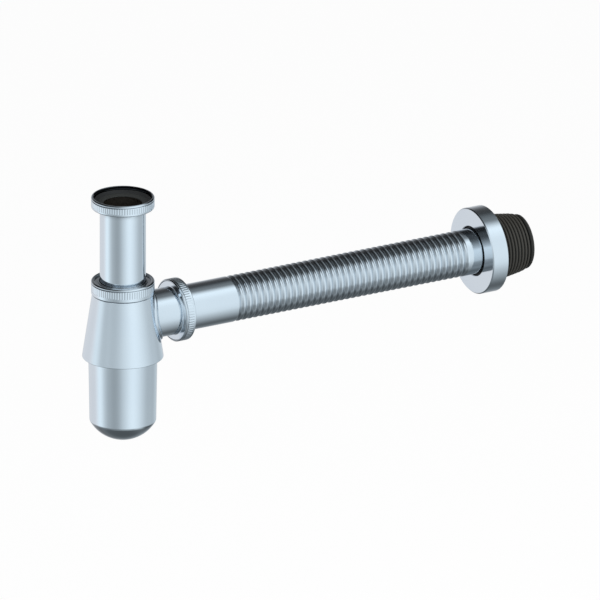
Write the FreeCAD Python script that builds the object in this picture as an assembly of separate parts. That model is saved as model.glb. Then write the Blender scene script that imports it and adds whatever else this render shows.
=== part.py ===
import FreeCAD, Part
import math
import os

# Chromed bottle trap for a wash basin, for 32 mm tube, in millimetres.
# The origin is the centre of the inlet nut's thread where it starts, just inside
# the mouth. +Z runs up the inlet tube, +X along the outlet pipe to the wall.

# Tube, outlet height and running clearances
tube_radius = 16.0
tube_wall = 1.0
outlet_drop = 90.6            # inlet thread down to the axis of the outlet
running_clearance = 0.1       # tube in its bore, thread on its mate
seal_clearance = 0.3          # rubber and slip rings beside what they slide past
seat_gap = 0.05               # flat faces that are only screwed hand tight

# Knurled nuts
seal_width = 3.6              # slip ring, from the tube outwards
union_nut_wall = 2.1          # neck and outlet nuts, thread to outside
inlet_nut_wall = 1.8          # inlet nut, thread to outside
nut_hole_clearance = 0.5
nut_web = 1.2
lip_height = 1.4
groove_width = 0.7
groove_depth = 0.6
knurl_height = 0.4
knurl_teeth = 72
edge_round = 0.5
mouth_chamfer = 0.4
union_nut_length = 7.8        # inlet and outlet nuts
union_nut_band = 1.7
neck_nut_length = 9.6
neck_nut_band = 2.5
nut_recess = 1.3              # web of the neck nut below its lip
hole_bead = 0.7               # bead round the hole of the neck nut

# Inlet tube and its washer
collar_inset = 0.9            # collar's edge inside the nut's thread
collar_thickness = 1.1
collar_fillet = 0.5
dip_depth = 65.0              # end of the tube below the outlet axis
tube_end_chamfer = 0.4
washer_overhang = 1.6         # washer's hole inside the tube's bore
washer_kink = 1.3             # kink of its top face, outside the tube
washer_inner_thickness = 0.6
washer_kink_thickness = 1.7
washer_outer_thickness = 3.3
washer_side_gap = 0.4
thread_relief = 0.3           # bore behind the inlet thread, round the washer

# Neck of the trap body, its seal and slip ring
neck_nut_gap = 0.3            # nut above the bell's shoulder
neck_bore_clearance = 0.6
neck_floor = 2.4              # metal between the neck's foot and the bell's inside
seal_flange = 1.0
seal_cone_length = 2.7
seal_tip = 0.9                # thickness of the rubber at the cone's tip
slip_ring_thickness = 0.9
slip_ring_clearance = 0.4

# Bell, which widens downwards and overhangs the cup
bell_headroom = 1.35          # bell's shoulder above the saddle
bell_top_inset = 0.7          # bell's top edge inside the nut's outside
bell_flare = 6.95
bell_wall = 1.6
skirt_depth = 8.9             # bell's bottom edge below the gasket face
skirt_clearance = 1.6         # round the cup, below its thread

# Cup and its gasket
cup_shoulder_drop = 0.45      # gasket face below the spigot
cup_inset = 4.35              # cup inside the bell's bottom edge
cup_draft = 0.75
cup_wall = 1.3
cup_thread_step = 1.0
cup_thread_length = 5.4
gasket_thickness = 1.5
gasket_width = 1.6
dome_start_depth = 71.8
dome_height = 14.75
dome_knuckle = 3.8

# Outlet spigot, its union and its seal
spigot_wall = 0.75
saddle_width = 1.6            # raised collar where the spigot leaves the bell
saddle_height = 1.4
outlet_nut_start = 38.4
spigot_ring_recess = 1.4
spigot_ring_length = 3.2
outlet_seal_flange = 0.8
outlet_seal_cone_length = 2.3
outlet_slip_ring_thickness = 0.8

# Corrugated outlet pipe
pipe_start = 30.0
pipe_inset = 7.0              # pipe's end inside the cuff's nose
crest_count = 39
crest_pitch = 4.587
first_crest = 88.5
corrugation_depth = 1.4

# Wall flange
flange_front = 278.4
flange_depth = 12.2
flange_wall = 1.4
flange_room = 2.8             # inside the flange, round the cuff's lip
flange_hole_clearance = 1.5
flange_rim = 2.6
flange_edge = 0.7

# Rubber wall cuff
cuff_thickness = 7.7          # first rib, behind the flange, over the tube
cuff_sleeve_inset = 1.6       # sleeve's end behind the flange's front
cuff_lip_inset = 3.6          # lip's front inside the flange
cuff_lip_width = 2.2
cuff_lip_height = 2.3
cuff_rib_pitch = 2.7
cuff_rib_count = 10
cuff_rib_land = 1.0
cuff_rib_depth = 1.1
cuff_taper = 0.153            # fall of the ribs' radius per millimetre
cuff_nose_ribs = 2            # last ribs, which bend in towards the nose
cuff_nose_fall = 0.2          # extra fall of the first of them
cuff_nose_round = 1.6

outlet_level = -outlet_drop
slip_ring_radius = tube_radius + seal_width
union_thread_radius = slip_ring_radius + seal_clearance
male_thread_radius = union_thread_radius - running_clearance
nut_radius = union_thread_radius + union_nut_wall
inlet_thread_radius = nut_radius - inlet_nut_wall
nut_hole_radius = tube_radius + nut_hole_clearance
knurl_root_radius = nut_radius - knurl_height
seal_tip_radius = tube_radius + seal_tip
spigot_radius = tube_radius + running_clearance + spigot_wall
bell_top_height = spigot_radius + saddle_width + bell_headroom
bell_top_radius = nut_radius - bell_top_inset
bell_bottom_radius = bell_top_radius + bell_flare
cup_shoulder_depth = spigot_radius + cup_shoulder_drop
bell_bottom_depth = cup_shoulder_depth + skirt_depth
cup_radius = bell_bottom_radius - cup_inset
cup_thread_radius = cup_radius + cup_thread_step
flange_hole_radius = tube_radius + flange_hole_clearance
flange_back = flange_front + flange_depth
cuff_lip_start = flange_back - cuff_lip_inset
cuff_ribs_start = cuff_lip_start + cuff_lip_width
cuff_nose_start = cuff_ribs_start + cuff_rib_count * cuff_rib_pitch
cuff_end = cuff_nose_start + cuff_nose_round
cuff_lip_radius = tube_radius + cuff_thickness + cuff_lip_height
flange_radius = cuff_lip_radius + flange_room + flange_wall
pipe_end = cuff_end - pipe_inset
UP = FreeCAD.Vector(0, 0, 1)
ALONG = FreeCAD.Vector(1, 0, 0)


# Points of a profile, as radius and place along the turning axis
def on_inlet(radius, height):
    return FreeCAD.Vector(radius, 0, height)


def on_outlet(radius, along):
    return FreeCAD.Vector(along, 0, outlet_level + radius)


# A solid turned from a closed profile. A step is a point for a straight edge,
# or a middle and an end point for an arc.
def turned(place, steps):
    edges = []
    last = place(*steps[0])
    for step in steps[1:] + steps[:1]:
        curved = isinstance(step[0], tuple)
        points = [last] + [place(*point) for point in (step if curved else (step,))]
        if len(points) == 2:
            edges.append(Part.makeLine(*points))
        else:
            edges.append(Part.Arc(*points).toShape())
        last = points[-1]
    face = Part.Face(Part.Wire(edges))
    if place is on_inlet:
        return face.revolve(FreeCAD.Vector(0, 0, 0), UP, 360)
    return face.revolve(FreeCAD.Vector(0, 0, outlet_level), ALONG, 360)


# Ring of straight teeth between two heights
def toothed_ring(inner_radius, low, high):
    corners = []
    for index in range(2 * knurl_teeth):
        radius = nut_radius if index % 2 else knurl_root_radius
        angle = math.pi * index / knurl_teeth
        corners.append(FreeCAD.Vector(radius * math.cos(angle), radius * math.sin(angle), low))
    outline = Part.makePolygon(corners + corners[:1])
    hole = Part.Wire(Part.makeCircle(inner_radius, FreeCAD.Vector(0, 0, low), UP))
    ring = Part.Face([outline, hole])
    ring.validate()
    return ring.extrude(FreeCAD.Vector(0, 0, high - low))


# Knurled nut with its lip at height 0 and its plain band upwards. The inside
# is a list of points from the band's end back to the lip.
def knurled_nut(length, band, inside):
    knurl_start = lip_height + groove_width
    knurl_end = length - band
    core = knurl_root_radius - knurl_height
    groove = nut_radius - groove_depth
    body = turned(on_inlet, inside + [
        (nut_radius - edge_round, 0),
        (nut_radius, edge_round),
        (nut_radius, lip_height),
        (groove, lip_height),
        (groove, knurl_start),
        (core, knurl_start),
        (core, knurl_end),
        (nut_radius, knurl_end),
        (nut_radius, length - edge_round),
        (nut_radius - edge_round, length)])
    return body.fuse(toothed_ring(core, knurl_start, knurl_end)).removeSplitter()


# The lip faces up and the thread opens up
def inlet_nut():
    web_start = union_nut_length - nut_web
    washer_top = mouth_chamfer - collar_top() - washer_outer_thickness
    thread_end = washer_top - running_clearance
    relief_radius = inlet_thread_radius + thread_relief
    nut = knurled_nut(union_nut_length, union_nut_band, [
        (nut_hole_radius, union_nut_length),
        (nut_hole_radius, web_start),
        (relief_radius, web_start),
        (relief_radius, thread_end),
        (inlet_thread_radius, thread_end),
        (inlet_thread_radius, mouth_chamfer),
        (inlet_thread_radius + mouth_chamfer, 0)])
    nut.rotate(FreeCAD.Vector(0, 0, 0), ALONG, 180)
    nut.translate(FreeCAD.Vector(0, 0, mouth_chamfer))
    return nut


# The tube's collar rests on the nut's web
def collar_top():
    return mouth_chamfer - union_nut_length + nut_web + seat_gap + collar_thickness


def inlet_tube():
    bore = tube_radius - tube_wall
    collar_radius = inlet_thread_radius - collar_inset
    top = collar_top()
    under = top - collar_thickness
    end = outlet_level - dip_depth
    return turned(on_inlet, [
        (bore, top),
        (collar_radius, top),
        (collar_radius, under),
        (nut_hole_radius, under),
        (tube_radius, under - collar_fillet),
        (tube_radius, end + tube_end_chamfer),
        (tube_radius - tube_end_chamfer, end),
        (bore, end)])


def inlet_washer():
    base = collar_top()
    hole = tube_radius - tube_wall - washer_overhang
    outer = inlet_thread_radius - washer_side_gap
    return turned(on_inlet, [
        (hole, base),
        (outer, base),
        (outer, base + washer_outer_thickness),
        (tube_radius + washer_kink, base + washer_kink_thickness),
        (hole, base + washer_inner_thickness)])


neck_lip = outlet_level + bell_top_height + neck_nut_gap + neck_nut_length
neck_web_under = neck_lip - nut_recess - nut_web
neck_ring_under = neck_web_under - seat_gap - slip_ring_thickness
neck_seal_top = neck_ring_under - seat_gap
neck_seal_under = neck_seal_top - seal_flange
neck_top = neck_seal_under - seal_clearance


# The lip faces up and the thread opens down
def neck_nut():
    bead_radius = nut_hole_radius + hole_bead
    nut = knurled_nut(neck_nut_length, neck_nut_band, [
        (union_thread_radius + mouth_chamfer, neck_nut_length),
        (union_thread_radius, neck_nut_length - mouth_chamfer),
        (union_thread_radius, nut_recess + nut_web),
        (nut_hole_radius, nut_recess + nut_web),
        (nut_hole_radius, nut_recess - hole_bead),
        (bead_radius, nut_recess - hole_bead),
        (bead_radius, nut_recess),
        (union_thread_radius, nut_recess),
        (union_thread_radius, 0)])
    nut.rotate(FreeCAD.Vector(0, 0, 0), ALONG, 180)
    nut.translate(FreeCAD.Vector(0, 0, neck_lip))
    return nut


# Flat ring between a nut's web and the rubber
def slip_ring(place, start, thickness):
    bore = tube_radius + slip_ring_clearance
    return turned(place, [
        (bore, start),
        (slip_ring_radius, start),
        (slip_ring_radius, start + thickness),
        (bore, start + thickness)])


# Rubber with a flange under the slip ring and a cone that wedges into its seat
def cone_seal(place, back, flange, cone_length, towards):
    bore = tube_radius + running_clearance
    face = back + towards * flange
    tip = face + towards * cone_length
    return turned(place, [
        (bore, back),
        (slip_ring_radius - seal_clearance, back),
        (slip_ring_radius - seal_clearance, face),
        (cone_seal_radius(cone_length), face),
        (seal_tip_radius, tip),
        (bore, tip)])


# The cone widens away from its tip at 30 degrees to the tube
def cone_seal_radius(cone_length):
    return seal_tip_radius + cone_length * math.tan(math.radians(30))


# Radius of the bell's outside at a height above the outlet axis
def bell_radius(height):
    slope = (bell_bottom_radius - bell_top_radius) / (bell_top_height + bell_bottom_depth)
    return bell_top_radius + slope * (bell_top_height - height)


# The bell's chamber, from under the neck down to the gasket face
def bell_inside():
    ceiling = bell_top_height - neck_floor
    shoulder = -cup_shoulder_depth
    return turned(on_inlet, [
        (0, outlet_level + ceiling),
        (bell_radius(ceiling) - bell_wall, outlet_level + ceiling),
        (cup_thread_radius - gasket_width, outlet_level + shoulder),
        (0, outlet_level + shoulder)])


def trap_body():
    seat_radius = cone_seal_radius(seal_cone_length) + seal_clearance
    bore = tube_radius + neck_bore_clearance
    seat_depth = (seat_radius - bore) / math.tan(math.radians(30))
    ceiling = bell_top_height - neck_floor
    thread_end = cup_shoulder_depth + gasket_thickness + cup_thread_length + 2 * seat_gap
    skirt_radius = cup_thread_radius + skirt_clearance
    shell = turned(on_inlet, [
        (bore, neck_top - seat_depth),
        (seat_radius, neck_top),
        (male_thread_radius, neck_top),
        (male_thread_radius, outlet_level + bell_top_height),
        (bell_top_radius, outlet_level + bell_top_height),
        (bell_bottom_radius, outlet_level - bell_bottom_depth),
        (skirt_radius, outlet_level - bell_bottom_depth),
        (skirt_radius, outlet_level - thread_end),
        (cup_thread_radius, outlet_level - thread_end),
        (cup_thread_radius, outlet_level - cup_shoulder_depth),
        (cup_thread_radius - gasket_width, outlet_level - cup_shoulder_depth),
        (bell_radius(ceiling) - bell_wall, outlet_level + ceiling),
        (bore, outlet_level + ceiling)])
    hole = Part.makeCylinder(
        spigot_radius, bell_bottom_radius, FreeCAD.Vector(0, 0, outlet_level), ALONG)
    return shell.cut(hole)


# Socket tube with a threaded ring at its mouth and a saddle on the bell
def outlet_spigot():
    bore = tube_radius + running_clearance
    ring_start = outlet_nut_start + spigot_ring_recess
    ring_end = ring_start + spigot_ring_length
    seat_radius = cone_seal_radius(outlet_seal_cone_length) + seal_clearance
    seat_depth = (seat_radius - bore) / math.tan(math.radians(30))
    socket = turned(on_outlet, [
        (bore, 0),
        (spigot_radius, 0),
        (spigot_radius, ring_start),
        (male_thread_radius, ring_start),
        (male_thread_radius, ring_end),
        (seat_radius, ring_end),
        (bore, ring_end - seat_depth)])
    socket = socket.cut(bell_inside())
    return socket.fuse(saddle()).removeSplitter()


# Collar of even width that follows the bell round the spigot
def saddle():
    bell = turned(on_inlet, bell_outline(0))
    raised = turned(on_inlet, bell_outline(saddle_height))
    ring = turned(on_outlet, [
        (spigot_radius, 0),
        (spigot_radius + saddle_width, 0),
        (spigot_radius + saddle_width, outlet_nut_start),
        (spigot_radius, outlet_nut_start)])
    return ring.common(raised).cut(bell)


def bell_outline(grow):
    return [
        (0, outlet_level + bell_top_height),
        (bell_top_radius + grow, outlet_level + bell_top_height),
        (bell_bottom_radius + grow, outlet_level - bell_bottom_depth),
        (0, outlet_level - bell_bottom_depth)]


outlet_web_under = outlet_nut_start + union_nut_length - nut_web
outlet_ring_back = outlet_web_under - seat_gap
outlet_seal_back = outlet_ring_back - outlet_slip_ring_thickness - seat_gap


# The lip faces the bell and the thread opens towards it
def outlet_nut():
    web_start = union_nut_length - nut_web
    nut = knurled_nut(union_nut_length, union_nut_band, [
        (nut_hole_radius, union_nut_length),
        (nut_hole_radius, web_start),
        (union_thread_radius, web_start),
        (union_thread_radius, mouth_chamfer),
        (union_thread_radius + mouth_chamfer, 0)])
    nut.rotate(FreeCAD.Vector(0, 0, 0), FreeCAD.Vector(0, 1, 0), 90)
    nut.translate(FreeCAD.Vector(outlet_nut_start, 0, outlet_level))
    return nut


cup_rim = outlet_level - cup_shoulder_depth - gasket_thickness - 2 * seat_gap


# Screwed cup with a slight draft and a domed bottom
def cup():
    thread = cup_thread_radius - running_clearance
    dome_radius = cup_radius - cup_draft
    dome_start = outlet_level - dome_start_depth
    bottom = dome_start - dome_height
    inner_rim = cup_radius - cup_wall
    inner_dome = dome_radius - cup_wall
    inner_bottom = bottom + cup_wall
    outer_crown, outer_knuckle = dome_arcs(dome_radius, dome_height, dome_knuckle)
    inner_crown, inner_knuckle = dome_arcs(
        inner_dome, dome_height - cup_wall, dome_knuckle - cup_wall)

    def lifted(points):
        return tuple((radius, dome_start - depth) for radius, depth in points)

    return turned(on_inlet, [
        (0, bottom),
        lifted(outer_crown),
        lifted(outer_knuckle),
        (cup_radius, cup_rim - cup_thread_length),
        (thread, cup_rim - cup_thread_length),
        (thread, cup_rim),
        (inner_rim, cup_rim),
        (inner_rim, cup_rim - cup_thread_length),
        (inner_dome, dome_start),
        lifted((inner_knuckle[0], inner_crown[1])),
        lifted((inner_crown[0], (0, dome_height - cup_wall)))])


# A dome's crown from its pole and its tangent knuckle up to its side, each as a
# middle and an end point of radius and depth
def dome_arcs(radius, height, knuckle):
    inset = radius - knuckle
    crown = (inset ** 2 + height ** 2 - knuckle ** 2) / (2 * (height - knuckle))
    tilt = math.asin(inset / (crown - knuckle))
    centre = height - crown
    between = (tilt + math.pi / 2) / 2
    return (
        ((crown * math.sin(tilt / 2), centre + crown * math.cos(tilt / 2)),
         (crown * math.sin(tilt), centre + crown * math.cos(tilt))),
        ((inset + knuckle * math.sin(between), knuckle * math.cos(between)),
         (radius, 0)))


def cup_seal():
    top = outlet_level - cup_shoulder_depth - seat_gap
    outer = cup_thread_radius - seal_clearance
    return turned(on_inlet, [
        (outer - gasket_width, top),
        (outer, top),
        (outer, top - gasket_thickness),
        (outer - gasket_width, top - gasket_thickness)])


# Tube with evenly spaced crests, as high as its plain ends. Its bore is even
# through the crests, a wall's thickness inside the valleys.
def outlet_pipe():
    bore = tube_radius - tube_wall
    valley = tube_radius - corrugation_depth
    half_pitch = crest_pitch / 2
    first_valley = first_crest - half_pitch
    last_valley = first_valley + crest_count * crest_pitch
    outside = [(tube_radius, pipe_start), (tube_radius, first_valley - half_pitch)]
    for index in range(crest_count):
        outside.append((valley, first_valley + index * crest_pitch))
        outside.append((tube_radius, first_crest + index * crest_pitch))
    return turned(on_outlet, outside + [
        (valley, last_valley),
        (tube_radius, last_valley + half_pitch),
        (tube_radius, pipe_end),
        (bore, pipe_end),
        (bore, last_valley + half_pitch),
        (valley - tube_wall, last_valley),
        (valley - tube_wall, first_valley),
        (bore, first_valley - half_pitch),
        (bore, pipe_start)])


# Drawn shell, open at the wall, with a rolled rim round its hole
def wall_flange():
    inner = flange_radius - flange_wall
    rim_radius = flange_hole_radius + flange_wall
    return turned(on_outlet, [
        (flange_hole_radius, flange_front + flange_rim),
        (flange_hole_radius, flange_front + flange_edge / 2),
        (flange_hole_radius + flange_edge / 2, flange_front),
        (flange_radius - flange_edge, flange_front),
        (flange_radius, flange_front + flange_edge),
        (flange_radius, flange_back),
        (inner, flange_back),
        (inner, flange_front + flange_wall),
        (rim_radius, flange_front + flange_wall),
        (rim_radius, flange_front + flange_rim)])


# Tapered rubber cuff with ribs for the wall socket and a sleeve for the flange
def wall_cuff():
    bore = tube_radius + running_clearance
    sleeve_radius = flange_hole_radius - seal_clearance
    sleeve_start = flange_front + cuff_sleeve_inset
    outside = [
        (bore, sleeve_start),
        (sleeve_radius, sleeve_start),
        (sleeve_radius, cuff_lip_start),
        (cuff_lip_radius, cuff_lip_start),
        (cuff_lip_radius, cuff_ribs_start)]
    for index in range(cuff_rib_count):
        bent = max(0, index + 1 + cuff_nose_ribs - cuff_rib_count)
        fall = index * cuff_rib_pitch * cuff_taper + cuff_nose_fall * bent ** 2
        radius = tube_radius + cuff_thickness - fall
        rib_end = cuff_ribs_start + (index + 1) * cuff_rib_pitch
        rib_start = rib_end - cuff_rib_land
        valley = rib_start - (cuff_rib_pitch - cuff_rib_land) / 2
        outside.append((radius - cuff_rib_depth, valley))
        outside.append((radius, rib_start))
        outside.append((radius, rib_end))
    nose = outside[-1][0]
    bend = cuff_nose_round * (1 - math.sqrt(0.5))
    return turned(on_outlet, outside + [
        ((nose - bend, cuff_end - bend), (nose - cuff_nose_round, cuff_end)),
        (bore, cuff_end)])


parts = {
    "inlet_nut": inlet_nut(),
    "inlet_washer": inlet_washer(),
    "inlet_tube": inlet_tube(),
    "neck_nut": neck_nut(),
    "neck_slip_ring": slip_ring(on_inlet, neck_ring_under, slip_ring_thickness),
    "neck_seal": cone_seal(on_inlet, neck_seal_top, seal_flange, seal_cone_length, -1),
    "trap_body": trap_body(),
    "outlet_spigot": outlet_spigot(),
    "outlet_nut": outlet_nut(),
    "outlet_slip_ring": slip_ring(
        on_outlet, outlet_ring_back - outlet_slip_ring_thickness, outlet_slip_ring_thickness),
    "outlet_seal": cone_seal(
        on_outlet, outlet_seal_back, outlet_seal_flange, outlet_seal_cone_length, -1),
    "cup": cup(),
    "cup_seal": cup_seal(),
    "outlet_pipe": outlet_pipe(),
    "wall_flange": wall_flange(),
    "wall_cuff": wall_cuff(),
}

os.makedirs("parts", exist_ok=True)
for name, shape in parts.items():
    if shape.ShapeType != "Solid":
        shape = shape.Solids[0] if len(shape.Solids) == 1 else shape
    shape.exportStep(os.path.join("parts", name + ".step"))
    print(name, round(shape.Volume), "mm3", len(shape.Solids), "solid, valid", shape.isValid())
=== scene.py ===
import bpy
import math
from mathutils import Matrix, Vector


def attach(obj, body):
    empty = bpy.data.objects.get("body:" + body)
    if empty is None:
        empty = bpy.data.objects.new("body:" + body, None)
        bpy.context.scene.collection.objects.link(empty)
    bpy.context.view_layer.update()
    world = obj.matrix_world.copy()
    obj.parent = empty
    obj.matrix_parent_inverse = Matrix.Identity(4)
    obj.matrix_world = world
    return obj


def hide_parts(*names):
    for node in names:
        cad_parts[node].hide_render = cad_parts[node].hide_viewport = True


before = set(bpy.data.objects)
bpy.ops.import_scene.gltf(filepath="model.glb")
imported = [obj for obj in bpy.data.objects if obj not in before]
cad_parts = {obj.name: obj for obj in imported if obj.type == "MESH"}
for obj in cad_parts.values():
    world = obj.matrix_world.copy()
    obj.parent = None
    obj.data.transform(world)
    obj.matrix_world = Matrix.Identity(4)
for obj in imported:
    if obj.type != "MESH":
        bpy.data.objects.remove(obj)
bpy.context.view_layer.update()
print("frame loaded,", len(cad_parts), "nodes")

mm = 0.001               # the pieces' numbers below are in millimetres
outletLevel = -90.6      # axis of the outlet pipe, below the inlet thread


# Where a section's points go: round the upright inlet tube or the lying outlet pipe
def upright(radius, turn, place):
    return radius * mm * math.cos(turn), radius * mm * math.sin(turn), place * mm


def lying(radius, turn, place):
    return place * mm, radius * mm * math.cos(turn), (outletLevel + radius * math.sin(turn)) * mm


# Corners of a section are (radius, place, round). Each one becomes a small arc with a
# holding row on both sides, which keeps the faces beside it flat in reflections.
def rounded(corners, plain=0.12, steps=4):
    rows = []
    for index, corner in enumerate(corners):
        size = corner[2] if len(corner) > 2 else plain
        here = Vector(corner[:2])
        back = Vector(corners[index - 1][:2]) - here
        ahead = Vector(corners[(index + 1) % len(corners)][:2]) - here
        if size == 0 or back.length < 1e-6 or ahead.length < 1e-6 or back.angle(ahead) > 3.1:
            rows.append(tuple(here))
            continue
        half = back.angle(ahead) / 2
        cut = min(size / math.tan(half), 0.4 * back.length, 0.4 * ahead.length)
        back.normalize()
        ahead.normalize()
        centre = here + (back + ahead).normalized() * cut / math.cos(half)
        hold = 0.2 * cut
        rows.append(tuple(here + back * (cut + hold)))
        first, last = here + back * cut - centre, here + ahead * cut - centre
        sweep = first.angle(last)
        for step in range(steps + 1):
            share = step / steps
            arm = (first * math.sin((1 - share) * sweep) + last * math.sin(share * sweep)) / math.sin(sweep)
            rows.append(tuple(centre + arm))
        rows.append(tuple(here + ahead * (cut + hold)))
    return rows


# Rows along a straight run, close enough to carry a thread or an even reflection
def run(radius, start, end, step=0.3, endRadius=None):
    count = max(2, round(abs(end - start) / step))
    last = radius if endRadius is None else endRadius
    return [(radius + (last - radius) * i / count, start + (end - start) * i / count, 0)
            for i in range(count + 1)]


# Turns a closed section into a mesh. A row is (radius, place), or a function of the
# turn that gives both. Rows at radius 0 close in one point.
def turned(name, place, rows, segments=160, relief=None, sharp=38):
    points, rings, faces = [], [], []
    for row in rows:
        if not callable(row) and row[0] < 1e-6:
            rings.append([len(points)])
            points.append(place(0, 0, row[1]))
            continue
        rings.append(list(range(len(points), len(points) + segments)))
        for k in range(segments):
            turn = 2 * math.pi * k / segments
            radius, along = row(turn) if callable(row) else row[:2]
            if relief:
                radius = relief(radius, turn, along)
            points.append(place(radius, turn, along))
    for low, high in zip(rings, rings[1:] + rings[:1]):
        if len(low) == 1 and len(high) == 1:
            continue
        for k in range(segments):
            n = (k + 1) % segments
            corners = [low[k % len(low)], low[n % len(low)], high[n % len(high)], high[k % len(high)]]
            faces.append(list(dict.fromkeys(corners)))
    mesh = bpy.data.meshes.new(name)
    mesh.from_pydata(points, [], faces)
    volume = 0.0
    for face in mesh.polygons:      # signed volume tells whether the faces look outwards
        a, b, c = (mesh.vertices[v].co for v in face.vertices[:3])
        volume += a.dot(b.cross(c))
        if len(face.vertices) == 4:
            volume += a.dot(c.cross(mesh.vertices[face.vertices[3]].co))
    if volume < 0:
        mesh.flip_normals()
    mesh.shade_smooth()
    mesh.set_sharp_from_angle(angle=math.radians(sharp))
    piece = bpy.data.objects.new(name, mesh)
    bpy.context.scene.collection.objects.link(piece)
    return piece


# Saw-shaped wave from 0 to 1 that winds round the axis, for threads
def winding(turn, along, pitch):
    share = (along / pitch + turn / (2 * math.pi)) % 1
    return 1 - abs(2 * share - 1)


class Value:
    # one socket, so that shader maths reads as a Python expression
    def __init__(self, maker, socket):
        self.maker, self.socket = maker, socket

    def join(self, operation, first, second):
        return self.maker.node("ShaderNodeMath", {"operation": operation}, {0: first, 1: second})

    def __add__(self, other): return self.join("ADD", self, other)
    def __radd__(self, other): return self.join("ADD", other, self)
    def __sub__(self, other): return self.join("SUBTRACT", self, other)
    def __rsub__(self, other): return self.join("SUBTRACT", other, self)
    def __mul__(self, other): return self.join("MULTIPLY", self, other)
    def __rmul__(self, other): return self.join("MULTIPLY", other, self)
    def __truediv__(self, other): return self.join("DIVIDE", self, other)
    def __pow__(self, other): return self.join("POWER", self, other)


class Tree:
    def __init__(self, tree):
        self.tree = tree
        tree.nodes.clear()

    # any node: its type, its settings, then the values or links of its sockets
    def node(self, kind, settings=None, sockets=None, output=0):
        made = self.tree.nodes.new(kind)
        for key, setting in (settings or {}).items():
            if key == "stops":
                for spot, (at, colour) in enumerate(setting):
                    stop = made.color_ramp.elements[spot] if spot < 2 else made.color_ramp.elements.new(at)
                    stop.position, stop.color = at, (*colour, 1)
            else:
                setattr(made, key, setting)
        for key, given in (sockets or {}).items():
            if isinstance(given, Value):
                self.tree.links.new(given.socket, made.inputs[key])
            else:
                made.inputs[key].default_value = given
        return Value(self, made.outputs[output]) if made.outputs else made

    def mix(self, factor, first, second):
        first, second = [(*c, 1) if isinstance(c, tuple) else c for c in (first, second)]
        return self.node("ShaderNodeMix", {"data_type": "RGBA"}, {0: factor, 6: first, 7: second}, 2)

    def ease(self, value, low, high, start=0.0, end=1.0):
        return self.node("ShaderNodeMapRange", {"interpolation_type": "SMOOTHSTEP"},
                         {"Value": value, "From Min": low, "From Max": high, "To Min": start, "To Max": end})

    # grey levels given at places between low and high
    def levels(self, value, low, high, stops):
        share = (value - low) / (high - low)
        spots = [((at - low) / (high - low), (grey, grey, grey)) for at, grey in stops]
        ramp = self.node("ShaderNodeValToRGB", {"stops": [spots[0], spots[-1]] + spots[1:-1]}, {0: share})
        ramp.socket.node.color_ramp.interpolation = "B_SPLINE"
        return ramp

    def axes(self, vector):
        split = self.node("ShaderNodeSeparateXYZ", None, {0: vector})
        return [Value(self, split.socket.node.outputs[i]) for i in range(3)]

    def noise(self, vector, scale, detail=3.0, rough=0.5):
        return self.node("ShaderNodeTexNoise", None,
                         {"Vector": vector, "Scale": scale, "Detail": detail, "Roughness": rough})


def newFinish(name):
    material = bpy.data.materials.new(name)
    material.use_nodes = True
    return material, Tree(material.node_tree)


# Bright chrome plate: a cool metal with a faint haze and polishing lines
def chromeFinish(name, look):
    material, tree = newFinish(name)
    spot = tree.node("ShaderNodeTexCoord", output="Object")
    x, y, z = tree.axes(spot)
    a, b = (y, z - outletLevel * mm) if look.get("lying") else (x, y)
    radius = (a * a + b * b) ** 0.5
    haze = tree.noise(spot, look["hazeScale"], 3.0)
    smear = tree.noise(spot, look["hazeScale"] * 4.3, 2.0)
    stretch = tree.node("ShaderNodeVectorMath", {"operation": "MULTIPLY"}, {0: spot, 1: look["lineStretch"]})
    lines = tree.noise(stretch, look["lineScale"], 2.0)
    colour = tree.mix(tree.ease(haze, 0.35, 0.65), look["tint"], look["paleTint"])
    roughness = look["rough"] + look["roughSpread"] * haze + 0.02 * smear * lines
    # painted shade in the corners, grooves and recesses, as dark rings given as radius, half width and amount; on
    # lying pieces the shade is painted heavier on top
    for ring, width, amount in look.get("paintedShade", ()):
        off = (radius - ring * mm) / (width * mm)
        if look.get("lying"):
            amount = amount * tree.ease(b, 5 * mm, 10 * mm, 0.45, 1.0)
        colour = tree.mix(tree.ease(off * off, 0.2, 1.0, amount, 0.0), colour, (0.02, 0.022, 0.025))
    # unpolished inside
    if "bore" in look:
        dull = tree.ease(radius, (look["bore"] - 0.2) * mm, (look["bore"] + 0.2) * mm, 1.0, 0.0)
        colour = tree.mix(dull, colour, (0.24, 0.205, 0.17))
        roughness = roughness + 0.4 * dull
    height = lines * look["lineDepth"] + haze * look["wave"]
    normal = tree.node("ShaderNodeBump", None, {"Strength": 0.35, "Distance": 0.0002, "Height": height})
    shader = tree.node("ShaderNodeBsdfPrincipled", None, {
        "Base Color": colour, "Roughness": roughness, "Metallic": 1.0, "Normal": normal})
    tree.node("ShaderNodeOutputMaterial", None, {"Surface": shader})
    return material
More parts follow.
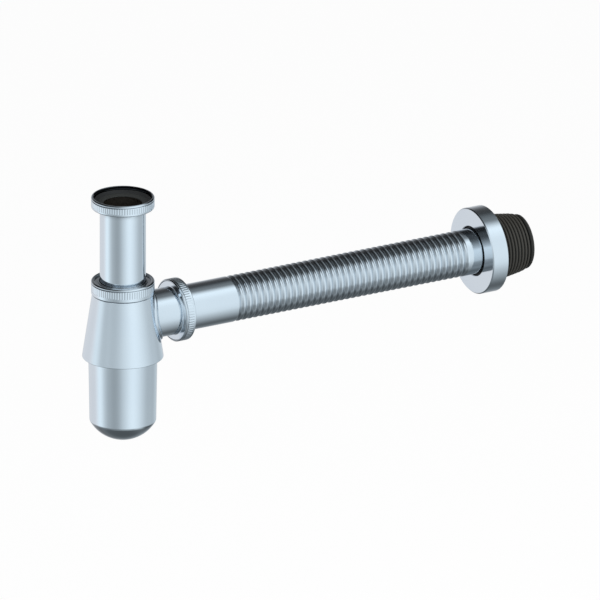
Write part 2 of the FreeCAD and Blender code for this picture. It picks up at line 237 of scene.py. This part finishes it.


# Moulded black rubber, faintly mottled, with grey bloom where it is handled; on some pieces a painted highlight on
# the rib tops or towards the hole
def rubberFinish(name, look):
    material, tree = newFinish(name)
    spot = tree.node("ShaderNodeTexCoord", output="Object")
    mottle = tree.noise(spot, 160.0, 4.0)
    bloom = tree.ease(tree.noise(spot, 70.0, 5.0, 0.6), 0.42, 0.75)
    pores = tree.noise(spot, 3500.0, 2.0)
    x, y, z = tree.axes(spot)
    colour = tree.mix(bloom * look["bloomAmount"], look["colour"], look["bloom"])
    if "paintedHoleLight" in look:      # painted highlight, lighter towards the hole
        radius = (x * x + y * y) ** 0.5
        colour = tree.mix(tree.ease(radius, 15.2 * mm, 18.2 * mm, 1.0, 0.0), colour, look["paintedHoleLight"])
    if "paintedRibLight" in look:          # painted highlight on the tops of the ribs, darker between them
        radius = (y * y + (z - outletLevel * mm) ** 2) ** 0.5
        top = radius - (look["ribRadius"] - (x / mm - look["ribStart"]) * look["taper"]) * mm
        colour = tree.mix(tree.ease(top, -0.75 * mm, 0.2 * mm), colour, look["paintedRibLight"])
    roughness = look["rough"] + 0.12 * mottle + 0.1 * bloom
    height = pores * 0.5 + mottle
    normal = tree.node("ShaderNodeBump", None, {"Strength": look["bump"], "Distance": 0.0002, "Height": height})
    shader = tree.node("ShaderNodeBsdfPrincipled", None, {
        "Base Color": colour, "Roughness": roughness, "Normal": normal, "Specular IOR Level": look["specular"]})
    tree.node("ShaderNodeOutputMaterial", None, {"Surface": shader})
    return material


# Plain turned brass with lathe rings and a little tarnish
def brassFinish(name, look):
    material, tree = newFinish(name)
    spot = tree.node("ShaderNodeTexCoord", output="Object")
    tarnish = tree.ease(tree.noise(spot, 120.0, 4.0), 0.4, 0.7)
    grain = tree.noise(spot, 1800.0, 3.0)
    colour = tree.mix(tarnish, look["colour"], look["tarnish"])
    roughness = 0.22 + 0.2 * tarnish + 0.08 * grain
    normal = tree.node("ShaderNodeBump", None, {"Strength": 0.2, "Distance": 0.0001, "Height": grain})
    shader = tree.node("ShaderNodeBsdfPrincipled", None, {
        "Base Color": colour, "Roughness": roughness, "Metallic": 1.0, "Normal": normal})
    tree.node("ShaderNodeOutputMaterial", None, {"Surface": shader})
    return material


chromeLook = {"tint": (0.82, 0.87, 0.92), "paleTint": (0.84, 0.89, 0.935), "rough": 0.04, "roughSpread": 0.04,
              "hazeScale": 28.0, "lineScale": 240.0, "lineDepth": 0.12, "wave": 0.3}
# rings of painted shade below darken the nuts' grooves, mouths and holes and the pipe's valleys in the colour
chromeMouth = chromeFinish("chromeMouth", {**chromeLook, "lineStretch": (1.0, 1.0, 14.0), "rough": 0.06,
                                           "paintedShade": [(21.4, 0.35, 0.3), (20.3, 0.36, 0.97)]})
chromeNut = chromeFinish("chromeNut", {**chromeLook, "lineStretch": (1.0, 1.0, 14.0), "rough": 0.06, "paintedShade": [
    (21.4, 0.35, 0.3), (19.85, 0.2, 0.3), (17.35, 0.2, 0.4), (16.35, 0.25, 0.95)]})
chromeUnion = chromeFinish("chromeUnion", {**chromeLook, "lineStretch": (14.0, 1.0, 1.0), "rough": 0.06,
                                           "lying": True, "paintedShade": [(21.4, 0.35, 0.3)]})
chromeInlet = chromeFinish("chromeInlet", {**chromeLook, "lineStretch": (1.0, 1.0, 9.0), "bore": 15.4})
chromePipe = chromeFinish("chromePipe", {**chromeLook, "lineStretch": (9.0, 1.0, 1.0), "lying": True,
                                         "paintedShade": [(14.55, 0.42, 0.62)]})
chromeBody = chromeFinish("chromeBody", {**chromeLook, "lineStretch": (1.0, 1.0, 12.0), "rough": 0.06})
chromeSpigot = chromeFinish("chromeSpigot", {**chromeLook, "lineStretch": (12.0, 1.0, 1.0)})
chromeFlange = chromeFinish("chromeFlange", {**chromeLook, "lineStretch": (10.0, 1.0, 1.0), "rough": 0.045})
# the washer rubber gets a painted highlight towards its hole
washerRubber = rubberFinish("washerRubber", {
    "colour": (0.017, 0.018, 0.019), "bloom": (0.030, 0.031, 0.031), "bloomAmount": 0.5,
    "rough": 0.42, "bump": 0.25, "specular": 0.4, "paintedHoleLight": (0.029, 0.031, 0.030)})
# the cuff's rib tops get a painted highlight, lighter than the rubber between them
cuffRubber = rubberFinish("cuffRubber", {
    "colour": (0.005, 0.005, 0.0045), "bloom": (0.010, 0.010, 0.009), "bloomAmount": 0.6,
    "rough": 0.42, "bump": 0.35, "specular": 0.3, "paintedRibLight": (0.046, 0.044, 0.038),
    "ribRadius": 23.7, "ribStart": 289.2, "taper": 0.153})
brass = brassFinish("brass", {"colour": (0.74, 0.58, 0.31), "tarnish": (0.48, 0.34, 0.16)})
print("finishes ready")


def finished(piece, node, body, material):
    piece.data.materials.append(material)
    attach(piece, body)
    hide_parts(node)
    print(node, len(piece.data.polygons), "faces")


# Knurled nuts. Places run from the lip at 0 to the plain band's end
nut = {"radius": 22.0, "hole": 16.5, "web": 1.2, "lip": 1.4, "bevel": 0.75, "groove": 0.7, "grooveRadius": 21.4,
       "root": 21.82, "teeth": 72, "perTooth": 8, "pitch": 2.309}


# Outside of a nut from its lip to its band, as corners in the order lip to band
def nutOutside(length, band, edge=0.5):
    knurlStart = nut["lip"] + nut["groove"]
    knurlEnd = length - band
    return [
        (nut["radius"] - nut["bevel"], 0, 0.3),
        (nut["radius"], nut["bevel"], 0.3),
        (nut["radius"], nut["lip"], 0.2),
        (nut["grooveRadius"], nut["lip"], 0.1),
        (nut["grooveRadius"], knurlStart - 0.45, 0.1),
        (nut["radius"] - 0.02, knurlStart + 0.15, 0.1),
        (nut["radius"], knurlStart + 0.4, 0),
        (nut["radius"], knurlEnd - 0.02, 0),
        (nut["radius"], knurlEnd, 0),
        (nut["radius"], length, edge)]


# Cuts the flutes between lip and band, and winds the thread inside
def nutRelief(length, band, threadRadius, threadStart, threadEnd, place, threadDepth=0.42):
    knurlStart = nut["lip"] + nut["groove"] - 0.01
    knurlEnd = length - band - 0.01

    def relief(radius, turn, along):
        depth = place(along)
        if knurlStart < depth < knurlEnd and radius > nut["root"]:
            flute = (0.5 - 0.5 * math.cos(nut["teeth"] * turn)) ** 4
            return min(radius, nut["radius"] - (nut["radius"] - nut["root"]) * flute)
        if threadStart < depth < threadEnd and abs(radius - threadRadius) < 0.02:
            fade = min(1, (depth - threadStart) / 0.4, (threadEnd - depth) / 0.4)
            return radius + threadDepth * fade * winding(turn, along, nut["pitch"])
        return radius
    return relief


nutSegments = nut["teeth"] * nut["perTooth"]

inletNut = {"length": 7.8, "band": 1.7, "top": 0.4, "thread": 20.2, "threadEnd": 2.05, "relief": 20.5, "mouth": 0.4}
inside = [(nut["hole"], inletNut["length"], 0.2),
          (nut["hole"], inletNut["length"] - nut["web"], 0.1),
          (inletNut["relief"], inletNut["length"] - nut["web"], 0.1),
          (inletNut["relief"], inletNut["threadEnd"], 0)] \
    + run(inletNut["thread"], inletNut["threadEnd"], inletNut["mouth"], 0.16) \
    + [(inletNut["thread"] + inletNut["mouth"], 0, 0.12)]
rows = [(radius, inletNut["top"] - along) for radius, along in
        rounded(inside + nutOutside(inletNut["length"], inletNut["band"], 1.0))]
piece = turned("inletNut", upright, rows, nutSegments,
               nutRelief(inletNut["length"], inletNut["band"], inletNut["thread"], inletNut["mouth"],
                         inletNut["threadEnd"], lambda along: inletNut["top"] - along, 0.15))
finished(piece, "inlet_nut", "inlet_nut", chromeMouth)

neckNut = {"length": 9.6, "band": 2.5, "top": -60.9, "thread": 19.9, "recess": 1.3, "bead": 0.7}
inside = [(neckNut["thread"] + 0.4, neckNut["length"], 0.1)] \
    + run(neckNut["thread"], neckNut["length"] - 0.4, neckNut["recess"] + nut["web"], 0.2) \
    + [(nut["hole"], neckNut["recess"] + nut["web"], 0.1),
       (nut["hole"], neckNut["recess"] - neckNut["bead"], 0.3),
       (nut["hole"] + neckNut["bead"], neckNut["recess"] - neckNut["bead"], 0.3),
       (nut["hole"] + neckNut["bead"], neckNut["recess"], 0.15),
       (neckNut["thread"], neckNut["recess"], 0.25),
       (neckNut["thread"], 0, 0.5)]
rows = [(radius, neckNut["top"] - along) for radius, along in
        rounded(inside + nutOutside(neckNut["length"], neckNut["band"]))]
piece = turned("neckNut", upright, rows, nutSegments,
               nutRelief(neckNut["length"], neckNut["band"], neckNut["thread"], 2.6,
                         neckNut["length"] - 0.4, lambda along: neckNut["top"] - along))
finished(piece, "neck_nut", "neck_nut", chromeNut)

outletNut = {"length": 7.8, "band": 1.7, "start": 38.4, "thread": 19.9, "threadStart": 1.4, "mouth": 20.9}
inside = [(nut["hole"], outletNut["length"], 0.25),
          (nut["hole"], outletNut["length"] - nut["web"], 0.1)] \
    + run(outletNut["thread"], outletNut["length"] - nut["web"], outletNut["threadStart"], 0.2) \
    + [(outletNut["mouth"], 0.5, 0.1), (outletNut["mouth"], 0, 0.1)]
rows = [(radius, outletNut["start"] + along) for radius, along in
        rounded(inside + nutOutside(outletNut["length"], outletNut["band"]))]
piece = turned("outletNut", lying, rows, nutSegments,
               nutRelief(outletNut["length"], outletNut["band"], outletNut["thread"], outletNut["threadStart"],
                         outletNut["length"] - nut["web"] - 0.1, lambda along: along - outletNut["start"]))
finished(piece, "outlet_nut", "outlet_nut", chromeUnion)

# Inlet tube with its collar, and the dished washer on top of it
inletTube = {"radius": 16.0, "bore": 15.0, "collar": 19.3, "top": -5.05, "collarUnder": -6.15,
             "fillet": 0.5, "end": -155.6}
rows = rounded(
    [(inletTube["bore"], inletTube["top"], 0.2),
     (inletTube["collar"], inletTube["top"], 0.2),
     (inletTube["collar"], inletTube["collarUnder"], 0.2),
     (inletTube["radius"] + inletTube["fillet"], inletTube["collarUnder"], 0),
     (inletTube["radius"] + 0.15, inletTube["collarUnder"] - 0.15, 0)]
    + run(inletTube["radius"], inletTube["collarUnder"] - inletTube["fillet"], inletTube["end"] + 0.4, 6.0)
    + [(inletTube["radius"] - 0.4, inletTube["end"], 0.1)]
    + run(inletTube["bore"], inletTube["end"], inletTube["top"] - 0.4, 6.0))
finished(turned("inletTube", upright, rows, 192), "inlet_tube", "inlet", chromeInlet)

washer = {"hole": 13.4, "kink": 17.3, "outer": 19.8, "base": -5.05, "inner": 0.6, "middle": 1.7, "rim": 3.3}
rows = rounded([
    (washer["hole"], washer["base"], 0.1),
    (washer["outer"], washer["base"], 0.2),
    (washer["outer"], washer["base"] + washer["rim"], 0.25),
    (washer["kink"], washer["base"] + washer["middle"], 0.8),
    (washer["hole"], washer["base"] + washer["inner"], 0.25)], steps=5)
finished(turned("inletWasher", upright, rows, 144), "inlet_washer", "inlet", washerRubber)

# Bell-shaped body: neck thread, shoulder, widening bell, thread for the cup
bell = {"top": -70.8, "topRadius": 21.3, "bottom": -116.8, "bottomRadius": 28.25, "wall": 1.6,
        "neckTop": -65.7, "neckThread": 19.8, "neckBore": 16.6, "seat": 18.76, "seatEnd": -69.44,
        "ceiling": -73.2, "skirt": 26.5, "cupThread": 24.9, "cupThreadEnd": -114.9, "shoulder": -107.9,
        "gasketFace": 23.3}


def bellRadius(height):
    share = (bell["top"] - height) / (bell["top"] - bell["bottom"])
    return bell["topRadius"] + (bell["bottomRadius"] - bell["topRadius"]) * share


def bodyRelief(radius, turn, along):
    if along > bell["top"] and abs(radius - bell["neckThread"]) < 0.02:
        fade = min(1, (along - bell["top"]) / 0.5, (bell["neckTop"] - along) / 0.5)
        return radius - 0.5 * max(0, fade) * winding(turn, along, nut["pitch"])
    if along < bell["shoulder"] and abs(radius - bell["cupThread"]) < 0.02:
        fade = min(1, (bell["shoulder"] - along) / 0.5, (along - bell["cupThreadEnd"]) / 0.5)
        return radius + 0.4 * max(0, fade) * winding(turn, along, 2.0)
    return radius


rows = rounded(
    [(bell["neckBore"], bell["seatEnd"], 0.1), (bell["seat"], bell["neckTop"], 0.1)]
    + run(bell["neckThread"], bell["neckTop"], bell["top"], 0.2)
    + [(bell["topRadius"], bell["top"], 0.5)]
    + run(bellRadius(-72.5), -72.5, -115.8, 1.6, bellRadius(-115.8))
    + [(bell["bottomRadius"], bell["bottom"], 0.45),
       (bell["skirt"], bell["bottom"], 0.3),
       (bell["skirt"], bell["cupThreadEnd"], 0.2)]
    + run(bell["cupThread"], bell["cupThreadEnd"], bell["shoulder"], 0.2)
    + [(bell["gasketFace"], bell["shoulder"], 0.1)]
    + run(bellRadius(-107.0) - 3.3, -107.0, -74.5, 2.0, bellRadius(-74.5) - bell["wall"])
    + [(bellRadius(bell["ceiling"]) - bell["wall"], bell["ceiling"], 0.3),
       (bell["neckBore"], bell["ceiling"], 0.2)])
body = turned("trapBody", upright, rows, 192, bodyRelief)
# the hole for the spigot
cutter = turned("hole", lying, [(0, 4), (16.85, 4), (16.85, 40), (0, 40)], 144)
cut = body.modifiers.new("hole", "BOOLEAN")
cut.object, cut.operation, cut.solver = cutter, "DIFFERENCE", "EXACT"
cutMesh = bpy.data.meshes.new_from_object(body.evaluated_get(bpy.context.evaluated_depsgraph_get()))
body.modifiers.clear()
body.data = cutMesh
cutMesh.name = "trapBody"
bpy.data.objects.remove(cutter)
cutMesh.set_sharp_from_angle(angle=math.radians(38))
finished(body, "trap_body", "trap", chromeBody)

# Spigot: socket tube with a threaded ring, and a saddle that follows the bell
spigot = {"bore": 16.1, "radius": 16.85, "saddle": 1.6, "raised": 1.4, "ringStart": 38.65, "ringEnd": 43.0,
          "face": 20.65, "thread": 19.8, "threadStart": 39.45, "seat": 18.53, "seatStart": 38.79}


def onBell(radius, off):
    def row(turn):
        height = outletLevel + radius * math.sin(turn)
        across = radius * math.cos(turn)
        return radius, math.sqrt((bellRadius(height) + off) ** 2 - across ** 2)
    return row


def spigotRelief(radius, turn, along):
    if abs(radius - spigot["thread"]) < 0.02 and along > spigot["threadStart"]:
        fade = min(1, (along - spigot["threadStart"]) / 0.4, (spigot["ringEnd"] - along) / 0.4)
        return radius - 0.5 * max(0, fade) * winding(turn, along, nut["pitch"])
    return radius


edge = spigot["radius"] + spigot["saddle"]
rows = [onBell(spigot["bore"], -1.6), (spigot["bore"], 30.0), (spigot["bore"], spigot["seatStart"]),
        (spigot["seat"], spigot["ringEnd"])] \
    + [r[:2] for r in run(spigot["thread"], spigot["ringEnd"], spigot["threadStart"], 0.2)] \
    + [(spigot["face"], spigot["ringStart"] + 0.2), (spigot["face"], spigot["ringStart"] + 0.1),
       (spigot["face"] - 0.1, spigot["ringStart"]), (spigot["face"] - 0.3, spigot["ringStart"]),
       (spigot["radius"] + 0.6, spigot["ringStart"]), (spigot["radius"] + 0.3, spigot["ringStart"]),
       (spigot["radius"] + 0.08, spigot["ringStart"] - 0.08),
       (spigot["radius"], spigot["ringStart"] - 0.3), (spigot["radius"], 36.0), (spigot["radius"], 33.0)] \
    + [onBell(spigot["radius"], spigot["raised"] + 0.4), onBell(spigot["radius"] + 0.02, spigot["raised"] + 0.12),
       onBell(spigot["radius"] + 0.14, spigot["raised"]), onBell(spigot["radius"] + 0.3, spigot["raised"]),
       onBell(edge - 0.7, spigot["raised"]), onBell(edge - 0.5, spigot["raised"] - 0.02),
       onBell(edge - 0.25, spigot["raised"] - 0.12), onBell(edge - 0.08, spigot["raised"] - 0.32),
       onBell(edge - 0.01, spigot["raised"] - 0.6), onBell(edge, spigot["raised"] - 0.8), onBell(edge, 0.0),
       onBell(spigot["radius"], 0.0), onBell(spigot["radius"], -1.6)]
piece = turned("outletSpigot", lying, rows, 192, spigotRelief)
finished(piece, "outlet_spigot", "trap", chromeSpigot)

# Screw-off cup with a domed bottom, and its flat gasket
cup = {"radius": 23.9, "draftRadius": 23.15, "wall": 1.3, "rim": -109.5, "thread": 24.8, "threadEnd": -114.9,
       "domeStart": -162.4, "domeHeight": 14.75, "knuckle": 3.8}


# Crown and knuckle of a dome from its pole up to its side, as rows
def domeRows(radius, height, knuckle, steps=14):
    inset = radius - knuckle
    crown = (inset ** 2 + height ** 2 - knuckle ** 2) / (2 * (height - knuckle))
    tilt = math.asin(inset / (crown - knuckle))
    rows = []
    for i in range(steps + 1):
        turn = tilt * i / steps
        rows.append((crown * math.sin(turn), cup["domeStart"] - (height - crown + crown * math.cos(turn)), 0))
    for i in range(1, steps + 1):
        turn = tilt + (math.pi / 2 - tilt) * i / steps
        rows.append((inset + knuckle * math.sin(turn), cup["domeStart"] - knuckle * math.cos(turn), 0))
    rows[0] = (0, rows[0][1], 0)
    return rows


def cupRelief(radius, turn, along):
    if abs(radius - cup["thread"]) < 0.02 and along > cup["threadEnd"]:
        fade = min(1, (along - cup["threadEnd"]) / 0.5, (cup["rim"] - along) / 0.5)
        return radius - 0.5 * max(0, fade) * winding(turn, along, 2.0)
    return radius


rows = domeRows(cup["draftRadius"], cup["domeHeight"], cup["knuckle"]) \
    + run(cup["draftRadius"], cup["domeStart"] + 1.0, cup["threadEnd"] - 1.0, 4.0, cup["radius"])[1:] \
    + rounded([(cup["radius"], cup["threadEnd"] - 0.6, 0), (cup["radius"], cup["threadEnd"], 0)]) \
    + run(cup["thread"], cup["threadEnd"], cup["rim"], 0.2) \
    + [(cup["thread"] - 0.4, cup["rim"], 0), (cup["radius"] - cup["wall"], cup["rim"], 0)] \
    + run(cup["radius"] - cup["wall"], cup["rim"] - 0.3, cup["domeStart"] + 1.0, 5.0,
          cup["draftRadius"] - cup["wall"]) \
    + list(reversed(domeRows(cup["draftRadius"] - cup["wall"], cup["domeHeight"] - cup["wall"],
                             cup["knuckle"] - cup["wall"])))
finished(turned("screwCup", upright, rows, 192, cupRelief), "cup", "cup", chromeBody)

gasket = {"inner": 23.0, "outer": 24.6, "top": -107.95, "under": -109.45}
rows = rounded([(gasket["inner"], gasket["top"]), (gasket["outer"], gasket["top"]),
                (gasket["outer"], gasket["under"]), (gasket["inner"], gasket["under"])])
finished(turned("cupGasket", upright, rows, 120), "cup_seal", "cup_gasket", washerRubber)

# Cone rubbers and slip rings inside the two unions
seal = {"bore": 16.1, "outer": 19.3, "tip": 16.9}
rows = rounded([(seal["bore"], -64.4), (seal["outer"], -64.4), (seal["outer"], -65.4),
                (18.46, -65.4), (seal["tip"], -68.1), (seal["bore"], -68.1)])
finished(turned("neckSeal", upright, rows, 120), "neck_seal", "neck_seal", washerRubber)
rows = rounded([(seal["bore"], 44.1), (seal["outer"], 44.1), (seal["outer"], 43.3),
                (18.23, 43.3), (seal["tip"], 41.0), (seal["bore"], 41.0)])
finished(turned("outletSeal", lying, rows, 120), "outlet_seal", "trap", washerRubber)
ring = {"bore": 16.4, "outer": 19.6}
rows = rounded([(ring["bore"], -64.35), (ring["outer"], -64.35), (ring["outer"], -63.45), (ring["bore"], -63.45)])
finished(turned("neckSlipRing", upright, rows, 120), "neck_slip_ring", "neck_ring", brass)
rows = rounded([(ring["bore"], 44.15), (ring["outer"], 44.15), (ring["outer"], 44.95), (ring["bore"], 44.95)])
finished(turned("outletSlipRing", lying, rows, 120), "outlet_slip_ring", "outlet_ring", brass)

# Corrugated outlet pipe, its wall even through crests and valleys
pipe = {"radius": 16.0, "wall": 1.0, "start": 30.0, "end": 310.8, "crests": 39, "pitch": 4.587,
        "firstCrest": 88.5, "depth": 1.4, "outerSteps": 12, "innerSteps": 6}


def crestRows(radius, steps):
    start = pipe["firstCrest"] - pipe["pitch"]
    rows = []
    for i in range((pipe["crests"] + 1) * steps + 1):
        share = i / steps
        swell = math.cos(math.pi * share) ** 2
        rows.append((radius - pipe["depth"] * (1 - swell), start + share * pipe["pitch"], 0))
    rows[0] = (radius, rows[0][1], 0)
    rows[-1] = (radius, rows[-1][1], 0)
    return rows


bore = pipe["radius"] - pipe["wall"]
outer = crestRows(pipe["radius"], pipe["outerSteps"])
inner = crestRows(bore, pipe["innerSteps"])
rows = run(pipe["radius"], pipe["start"] + 0.3, outer[0][1] - 0.5, 6.0) + outer \
    + run(pipe["radius"], outer[-1][1] + 0.5, pipe["end"] - 0.3, 6.0) \
    + [(pipe["radius"] - 0.3, pipe["end"]), (bore, pipe["end"])] \
    + list(reversed(inner)) \
    + [(bore, pipe["start"]), (pipe["radius"] - 0.3, pipe["start"])]
finished(turned("outletPipe", lying, rows, 112, sharp=60), "outlet_pipe", "pipe", chromePipe)

# Drawn wall flange, open at the wall
flange = {"radius": 30.2, "front": 278.4, "back": 290.6, "wall": 1.4, "hole": 17.5, "rimEnd": 281.0, "edge": 0.7}
rows = rounded([
    (flange["hole"], flange["rimEnd"], 0.2),
    (flange["hole"], flange["front"] + 0.35, 0.25),
    (flange["hole"] + 0.35, flange["front"], 0.25),
    (flange["radius"] - flange["edge"], flange["front"], 0.2),
    (flange["radius"], flange["front"] + flange["edge"], 0.2),
    (flange["radius"], flange["back"], 0.35),
    (flange["radius"] - flange["wall"], flange["back"], 0.35),
    (flange["radius"] - flange["wall"], flange["front"] + flange["wall"], 0.5),
    (flange["hole"] + flange["wall"], flange["front"] + flange["wall"], 0.3),
    (flange["hole"] + flange["wall"], flange["rimEnd"], 0.2)])
finished(turned("wallFlange", lying, rows, 224), "wall_flange", "flange", chromeFlange)

# Ribbed rubber cuff, tapered, with a rounded nose
cuff = {"bore": 16.1, "sleeve": 17.2, "sleeveStart": 280.0, "lip": 26.0, "lipStart": 287.0, "ribsStart": 289.2,
        "firstRib": 23.7, "pitch": 2.7, "count": 10, "land": 1.0, "depth": 1.1, "taper": 0.153,
        "noseRibs": 2, "noseFall": 0.2, "end": 317.8}
corners = [(cuff["bore"], cuff["sleeveStart"], 0.2), (cuff["sleeve"], cuff["sleeveStart"], 0.3),
           (cuff["sleeve"], cuff["lipStart"], 0.3), (cuff["lip"], cuff["lipStart"], 0.4),
           (cuff["lip"], cuff["ribsStart"], 0.4)]
for index in range(cuff["count"]):
    bent = max(0, index + 1 + cuff["noseRibs"] - cuff["count"])
    radius = cuff["firstRib"] - index * cuff["pitch"] * cuff["taper"] - cuff["noseFall"] * bent ** 2
    end = cuff["ribsStart"] + (index + 1) * cuff["pitch"]
    corners.append((radius - cuff["depth"], end - cuff["land"] - (cuff["pitch"] - cuff["land"]) / 2, 0.3))
    corners.append((radius, end - cuff["land"], 0.3))
    corners.append((radius, end, 0.3))
corners += [(radius, cuff["end"], 1.6), (cuff["bore"], cuff["end"], 0.3)]
finished(turned("wallCuff", lying, rounded(corners, steps=5), 160), "wall_cuff", "cuff", cuffRubber)
print("pieces ready")

# Studio: pale floor far below, soft lamps, and a white backdrop with dark flags that
# only show in the chrome
studio = {"floorLevel": -0.46, "floorSize": 8.0, "plainLight": 0.9, "floorGlow": 0.8}
bpy.ops.mesh.primitive_plane_add(size=studio["floorSize"], location=(0.15, 0, studio["floorLevel"]))
floor = bpy.context.object
floor.name = "floor"
material, tree = newFinish("paleFloor")
ray = tree.node("ShaderNodeLightPath", output="Is Camera Ray")
rays = ray.socket.node.outputs
seen = ray + Value(tree, rays["Is Glossy Ray"]) + Value(tree, rays["Is Transmission Ray"])
matt = tree.node("ShaderNodeBsdfDiffuse", None, {"Color": (0.92, 0.92, 0.92, 1)})
glow = tree.node("ShaderNodeEmission", None, {"Color": (1, 1, 1, 1), "Strength": 1.0})
surface = tree.node("ShaderNodeMixShader", None, {0: seen * studio["floorGlow"], 1: matt, 2: glow})
tree.node("ShaderNodeOutputMaterial", None, {"Surface": surface})
floor.data.materials.append(material)
floor.visible_glossy = False

world = bpy.data.worlds.new("studio")
bpy.context.scene.world = world
world.use_nodes = True
tree = Tree(world.node_tree)
cameraRay = tree.node("ShaderNodeLightPath", output="Is Camera Ray")
rays = cameraRay.socket.node.outputs
seen = cameraRay + Value(tree, rays["Is Glossy Ray"]) + Value(tree, rays["Is Transmission Ray"])
x, y, z = tree.axes(tree.node("ShaderNodeTexCoord", output="Generated"))
# overhead the set's front fades out further forward, the more so towards the bell side
aside = x - 0.47
openEnd = tree.ease(x, -0.78, -0.55)
spread = ((aside * aside) ** 0.5 - 0.45 * aside) * tree.ease(z, -0.1, 0.6) * openEnd
inFront = tree.ease(y, -0.32 - 0.57 * spread, 0.15 - 0.11 * spread, 1.0, 0.0)
# how bright the set is from below to overhead, on the camera's side and behind the object
frontLevel = tree.levels(z, -1.0, 1.0, [
    (-1.0, 0.09), (-0.94, 0.12), (-0.88, 0.24), (-0.8, 0.38), (-0.69, 0.53), (-0.53, 0.69), (-0.36, 0.83),
    (0.0, 0.86), (0.49, 0.86), (0.64, 0.88), (0.76, 0.97), (0.84, 1.0), (1.0, 1.0)])
backLevel = tree.levels(z, -1.0, 1.0, [
    (-1.0, 0.09), (-0.9, 0.10), (-0.8, 0.18), (-0.68, 0.26), (-0.5, 0.45), (-0.34, 0.71), (-0.12, 0.63),
    (0.0, 0.50), (0.15, 0.30), (0.32, 0.16), (0.45, 0.08), (0.7, 0.03), (0.82, 0.15), (0.9, 0.24), (1.0, 0.27)])
# soft strips and flags round the object, by the angle from the camera
around = tree.node("ShaderNodeMath", {"operation": "ARCTAN2"}, {0: x * 0.866 - y * 0.5, 1: x * -0.5 - y * 0.866})
strips = tree.levels(around, -math.pi, math.pi, [
    (math.radians(angle), level / 2) for angle, level in (
        (-180, 1.0), (-147, 1.16), (-110, 1.06), (-88, 1.62), (-74, 1.36), (-58, 0.68), (-46, 0.50), (-32, 0.40),
        (-20, 0.44), (-10, 0.57), (0, 0.76), (11, 0.91), (23, 1.10), (38, 1.20), (58, 0.98), (74, 0.78), (89, 0.60),
        (106, 0.56), (128, 0.78), (147, 0.95), (180, 1.0))])
reach = tree.levels(z, -1.0, 1.0, [
    (-1.0, 0.0), (-0.85, 0.3), (-0.6, 0.8), (-0.36, 1.0), (-0.05, 0.6), (0.3, 0.2), (0.6, 0.0), (1.0, 0.0)])
level = backLevel + (frontLevel - backLevel) * inFront
level = level * (1 + (strips * 2 - 1) * reach)
# dark hoods high behind the object at both ends, and dark corners below
bellHood = openEnd * tree.ease(x, -0.42, -0.1, 1.0, 0.0) * tree.ease(z, 0.1, 0.45) * (1 - inFront)
wallHood = tree.ease(x, 0.5, 0.68) * tree.ease(z, 0.05, 0.3) * tree.ease(y, 0.08, 0.4)
wallEnd = tree.ease(x, 0.66, 0.9) * tree.ease(z, 0.1, 0.32)
corners = tree.ease(x, 0.52, 0.75) + 0.5 * tree.ease(x, 0.1, 0.36, 1.0, 0.0) * tree.ease(z, -0.86, -0.74)
low = corners * tree.ease(z, -0.6, -0.42, 1.0, 0.0)
level = level * (1 - 0.7 * bellHood) * (1 - 0.93 * wallHood) * (1 - 0.65 * wallEnd) * (1 - 0.68 * low)
shown = cameraRay + (1 - cameraRay) * level
strength = (1 - seen) * studio["plainLight"] + seen * shown
tint = tree.mix(tree.ease(y, 0.42, 0.75, 1.0, 0.0), (0.97, 1.0, 1.045), (0.885, 1.0, 1.07))
colour = tree.mix(seen - cameraRay, (1.0, 1.0, 1.0), tint)
sky = tree.node("ShaderNodeBackground", None, {"Color": colour, "Strength": strength})
tree.node("ShaderNodeOutputWorld", None, {"Surface": sky})

for name, energy, size, place in (
        ("keyLamp", 9.0, 0.9, (0.4, -1.3, 1.1)),
        ("fillLamp", 4.0, 1.2, (-1.2, -0.6, 0.6))):
    lamp = bpy.data.lights.new(name, "AREA")
    lamp.energy, lamp.size = energy, size
    lampPiece = bpy.data.objects.new(name, lamp)
    lampPiece.location = place
    lampPiece.rotation_euler = (Vector((0.1, 0, -0.1)) - Vector(place)).to_track_quat("-Z", "Y").to_euler()
    lampPiece.visible_glossy = False
    bpy.context.scene.collection.objects.link(lampPiece)

# Camera: parallel view, 30 degrees round and 20 degrees up, framed as the photograph
view = {"azimuth": -30.0, "elevation": 20.0, "pixelsPerMm": 1.447, "axisPixel": (122.83, 319.9), "pixels": 600}
azimuth, elevation = math.radians(view["azimuth"]), math.radians(view["elevation"])
back = Vector((math.sin(azimuth) * math.cos(elevation), -math.cos(azimuth) * math.cos(elevation),
               math.sin(elevation)))
right = Vector((math.cos(azimuth), math.sin(azimuth), 0))
up = back.cross(right)
perPixel = mm / view["pixelsPerMm"]
half = view["pixels"] / 2
target = Vector((0, 0, outletLevel * mm)) + right * (half - view["axisPixel"][0]) * perPixel \
    + up * (view["axisPixel"][1] - half) * perPixel
cameraData = bpy.data.cameras.new("camera")
cameraData.type = "ORTHO"
cameraData.ortho_scale = view["pixels"] * perPixel
cameraData.clip_end = 50
camera = bpy.data.objects.new("camera", cameraData)
camera.location = target + back * 1.6
camera.rotation_euler = back.to_track_quat("Z", "Y").to_euler()
bpy.context.scene.collection.objects.link(camera)
bpy.context.scene.camera = camera
bpy.context.scene.view_settings.view_transform = "Standard"
print("studio and camera ready")
